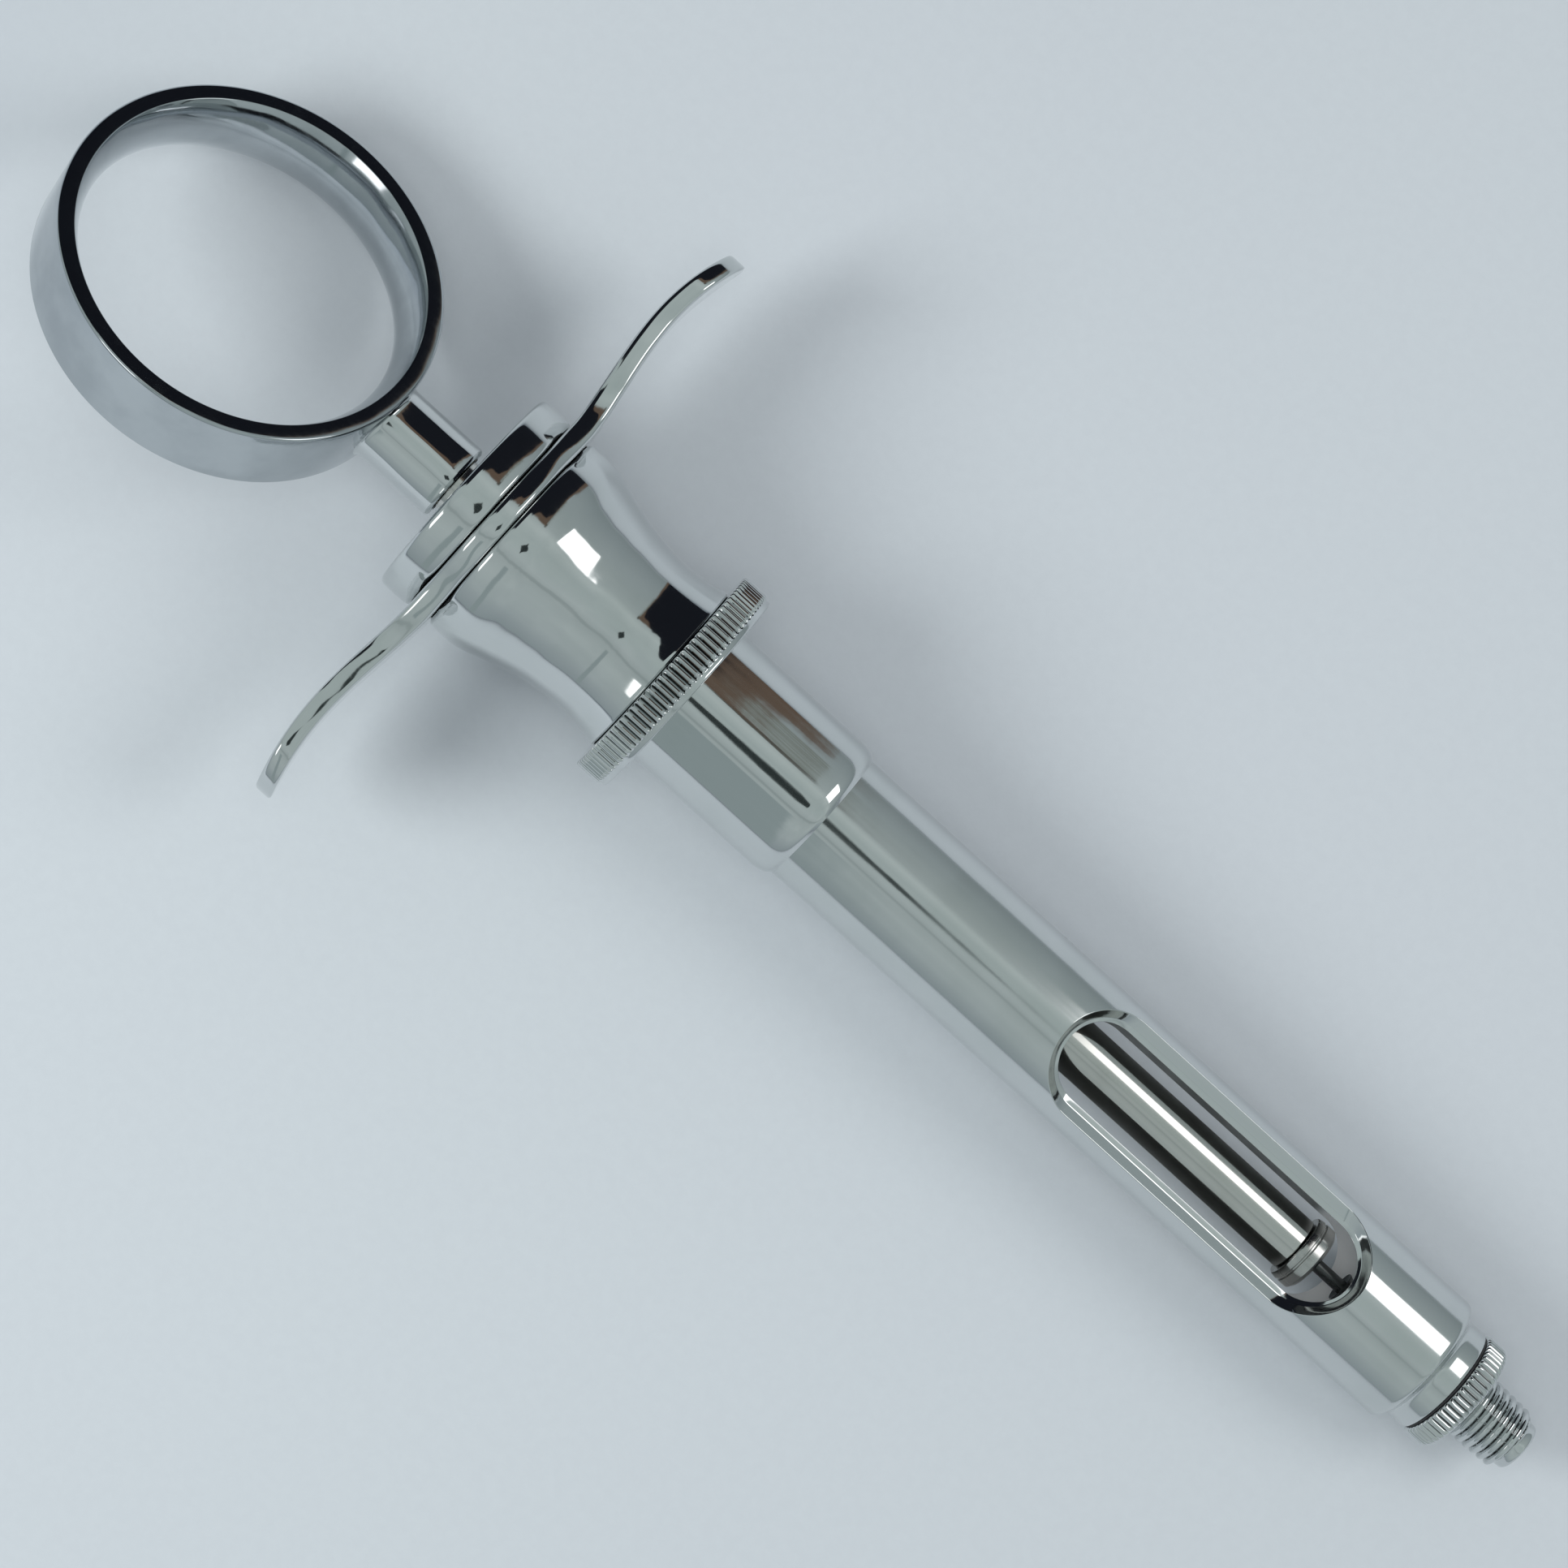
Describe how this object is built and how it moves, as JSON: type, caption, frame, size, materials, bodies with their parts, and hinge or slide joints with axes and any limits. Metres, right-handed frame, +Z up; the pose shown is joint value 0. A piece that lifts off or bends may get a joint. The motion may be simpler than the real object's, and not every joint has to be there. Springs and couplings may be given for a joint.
{
  "type": "aspirating dental syringe",
  "caption": "Metal aspirating cartridge syringe for dental anaesthesia, with thumb ring, finger wings, windowed barrel and threaded needle stub.",
  "frame": {"origin": "on the syringe's axis, halfway between the thumb ring's rear and the stub's nose with the plunger fully forward", "axes": "+X along the axis towards the needle, +Y along one finger wing, +Z up through the upper barrel window"},
  "size_m": [0.1556, 0.057, 0.0234],
  "materials": {
    "chrome_plate": "polished chrome plating with fine wear lines",
    "bare_steel": "turned stainless steel, fine lengthwise lines",
    "brass_bush": "machined brass",
    "black_rubber": "matt black rubber"
  },
  "bodies": {
    "grip": {"grip_body": "chrome_plate", "finger_grip": "chrome_plate", "rear_cap": "chrome_plate", "guide_bearing": "brass_bush", "seal_retainer": "brass_bush", "locating_pin": "bare_steel", "threaded_spigot": "bare_steel", "cartridge_spring": "bare_steel"},
    "rod_seal": {"rod_seal": "black_rubber"},
    "plunger": {"plunger_rod": "bare_steel", "plunger_head": "bare_steel", "harpoon": "bare_steel", "ring_stem": "chrome_plate", "thumb_ring": "chrome_plate"},
    "pusher": {"cartridge_pusher": "bare_steel"},
    "joint_washer": {"joint_washer": "black_rubber"},
    "barrel": {"knurled_ring": "chrome_plate", "barrel_socket": "chrome_plate", "barrel_tube": "chrome_plate"},
    "adaptor_washer": {"adaptor_washer": "black_rubber"},
    "needle_adaptor": {"needle_adaptor": "chrome_plate"}
  },
  "joints": [
    {"name": "plunger_turn", "type": "hinge", "parent": "grip", "child": "rod_seal", "pos_m": [-0.0311, 0, 0], "axis": [1, 0, 0], "continuous": true},
    {"name": "plunger_stroke", "type": "slide", "parent": "rod_seal", "child": "plunger", "axis": [-1, 0, 0], "range_m": [0, 0.06]},
    {"name": "pusher_travel", "type": "slide", "parent": "grip", "child": "pusher", "axis": [-1, 0, 0], "range_m": [0, 0.0015], "stiffness_N_per_m": 400, "springref_m": -0.001, "deforming": ["cartridge_spring"]},
    {"name": "barrel_advance", "type": "slide", "parent": "grip", "child": "joint_washer", "axis": [1, 0, 0], "range_m": [0, 0.006]},
    {"name": "barrel_turn", "type": "hinge", "parent": "joint_washer", "child": "barrel", "pos_m": [-0.01615, 0, 0], "axis": [1, 0, 0], "range_deg": [0, 1440]},
    {"name": "adaptor_advance", "type": "slide", "parent": "barrel", "child": "adaptor_washer", "axis": [1, 0, 0], "range_m": [0, 0.00225]},
    {"name": "adaptor_turn", "type": "hinge", "parent": "adaptor_washer", "child": "needle_adaptor", "pos_m": [0.06976, 0, 0], "axis": [1, 0, 0], "range_deg": [0, 1080]}
  ],
  "couplings": [
    {"joint": "barrel_turn", "follows": "barrel_advance", "rad_per_m": 4188.8},
    {"joint": "adaptor_turn", "follows": "adaptor_advance", "rad_per_m": 8377.6}
  ]
}
